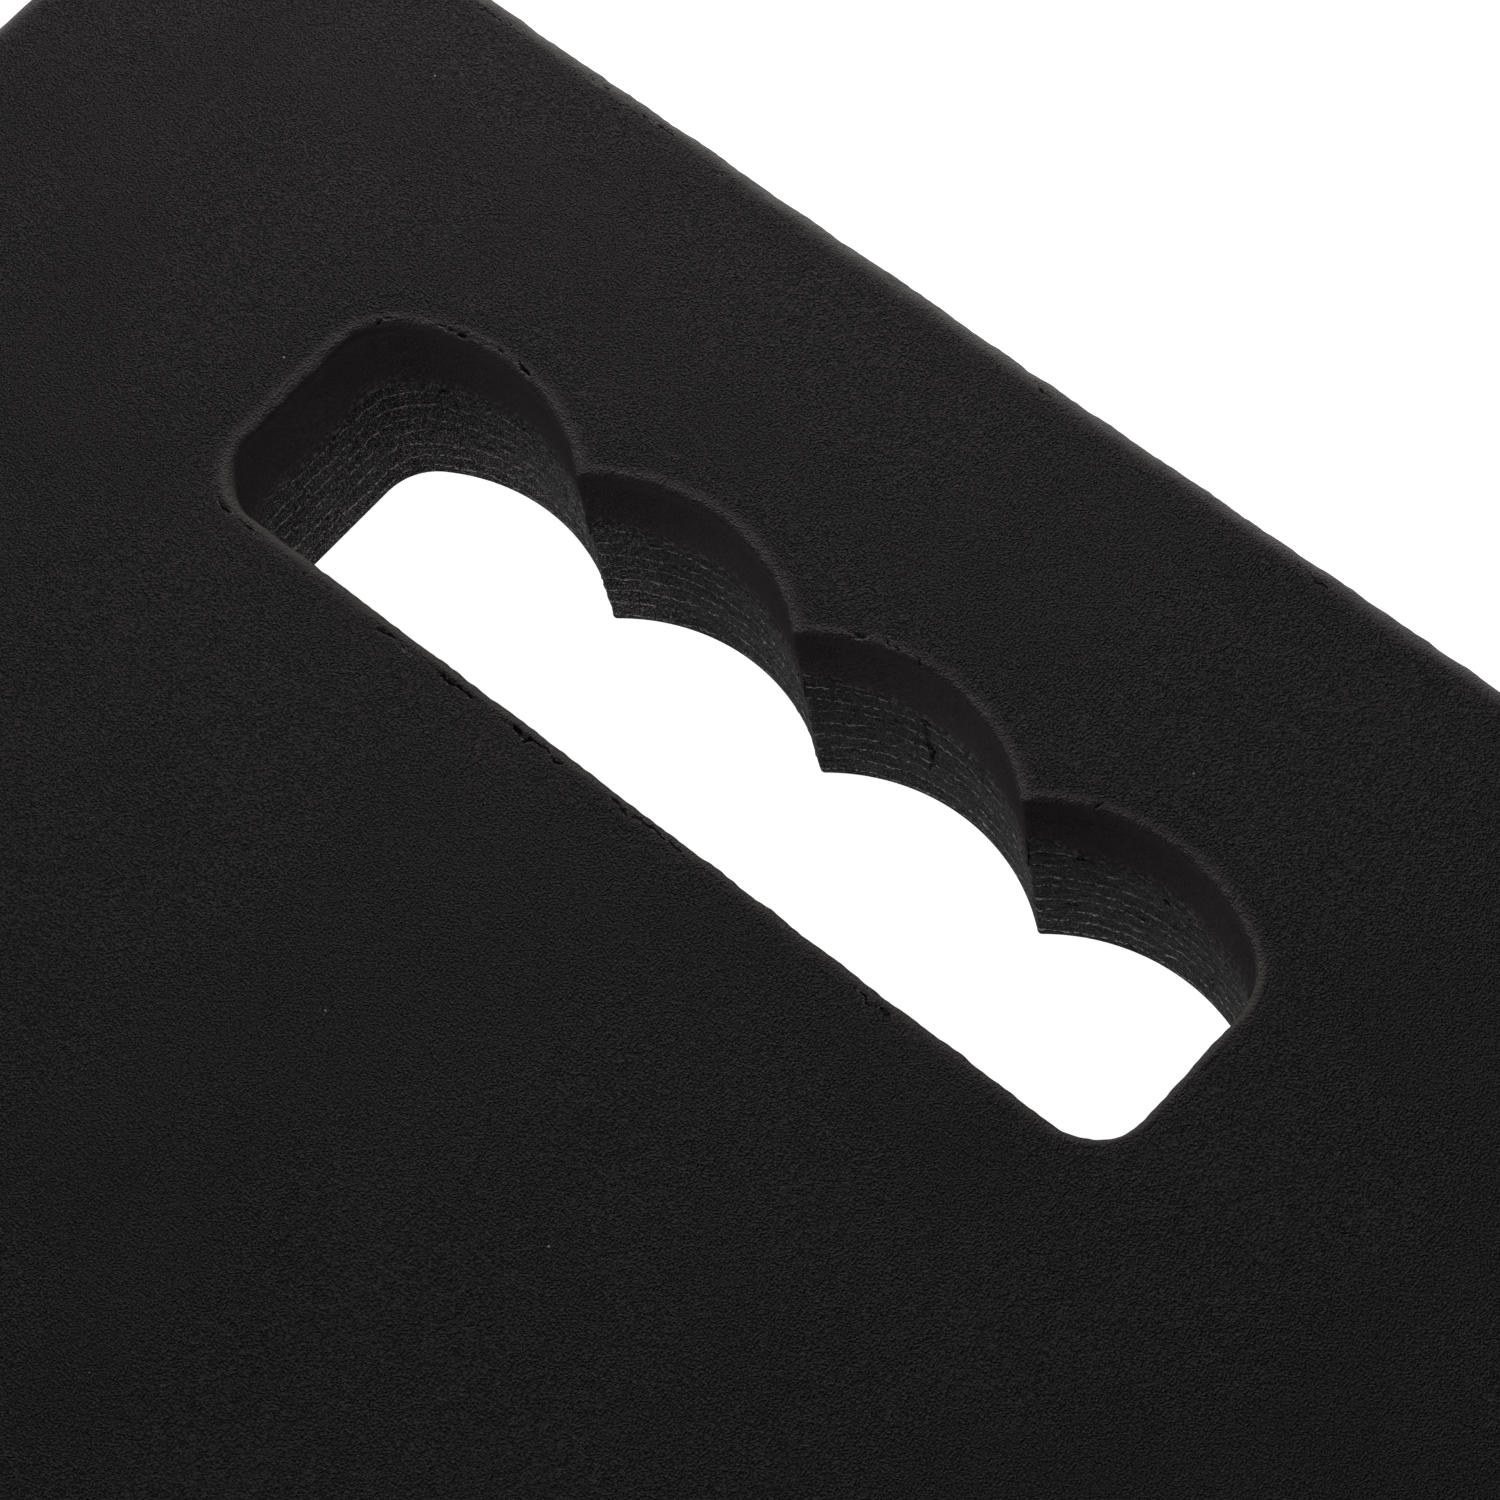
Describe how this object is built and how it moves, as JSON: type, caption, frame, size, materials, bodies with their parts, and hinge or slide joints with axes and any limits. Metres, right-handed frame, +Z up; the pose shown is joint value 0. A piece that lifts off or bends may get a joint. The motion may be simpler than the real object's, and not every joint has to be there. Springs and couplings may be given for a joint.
{
  "type": "foam kneeling board",
  "caption": "Flat black closed-cell foam kneeling board, laminated from thin plies between two skins, with a scalloped hand hole at one end.",
  "frame": {"origin": "middle of the underside, on the surface that the board lies on", "axes": "+Y along the board's length towards the hand-hole end, +X across the board, +Z up out of the kneeling face"},
  "size_m": [0.22, 0.45, 0.028],
  "materials": {
    "top_skin": "matte",
    "foam": "matte",
    "bottom_skin": "matte"
  },
  "bodies": {
    "root": {"bottom_skin": "bottom_skin", "foam_ply_01": "foam", "foam_ply_02": "foam", "foam_ply_03": "foam", "foam_ply_04": "foam", "foam_ply_05": "foam", "foam_ply_06": "foam", "foam_ply_07": "foam", "foam_ply_08": "foam", "foam_ply_09": "foam", "foam_ply_10": "foam", "foam_ply_11": "foam", "top_skin": "top_skin"}
  },
  "joints": []
}
